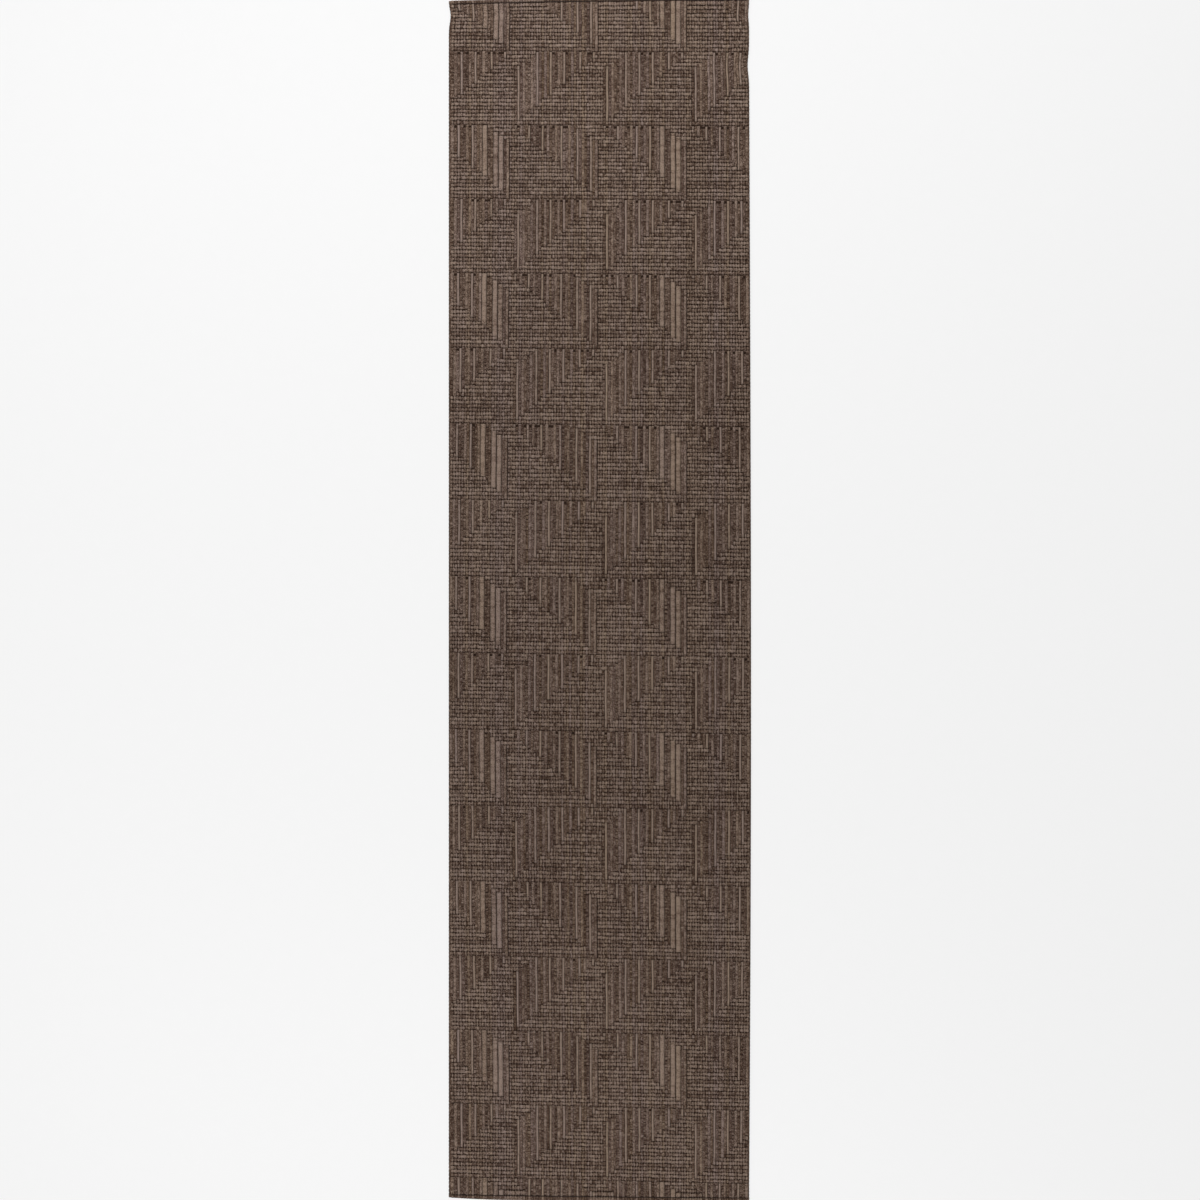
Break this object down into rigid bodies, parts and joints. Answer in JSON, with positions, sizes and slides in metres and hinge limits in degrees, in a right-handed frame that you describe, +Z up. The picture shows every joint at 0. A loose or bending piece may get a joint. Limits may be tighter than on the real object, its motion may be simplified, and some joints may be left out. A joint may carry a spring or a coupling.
{
  "type": "runner rug",
  "caption": "Long flat-woven runner rug with a raised step pattern of turning stripes, bound side edges and a stitched rolled hem at each end.",
  "frame": {"origin": "centre of the underside, on the floor", "axes": "+X across the width, +Y along the length towards the head end, +Z up through the thickness"},
  "size_m": [0.762, 3.048, 0.009],
  "materials": {
    "ground_yarn": "matt woven brown yarn",
    "light_yarn": "matt twisted taupe yarn",
    "dark_yarn": "matt twisted dark brown yarn",
    "core_yarn": "undyed spun yarn",
    "thread": "waxed dark brown sewing thread",
    "label": "blank satin-woven tape"
  },
  "bodies": {
    "root": {"back_weave": "ground_yarn", "stuffer_warps": "core_yarn", "weft_picks": "core_yarn", "face_ground": "ground_yarn", "light_warp_floats": "light_yarn", "dark_warp_floats": "dark_yarn", "light_weft_rows": "light_yarn", "dark_weft_rows": "dark_yarn", "selvedge_cord_left": "core_yarn", "selvedge_cord_right": "core_yarn", "selvedge_binding_left": "ground_yarn", "selvedge_binding_right": "ground_yarn", "hem_fold_head": "ground_yarn", "hem_fold_foot": "ground_yarn", "hem_web_head": "ground_yarn", "hem_web_foot": "ground_yarn", "needle_stitches_head": "thread", "needle_stitches_foot": "thread", "bobbin_stitches_head": "thread", "bobbin_stitches_foot": "thread", "corner_tacks": "thread", "care_label": "label", "label_stitches": "thread"}
  },
  "joints": []
}
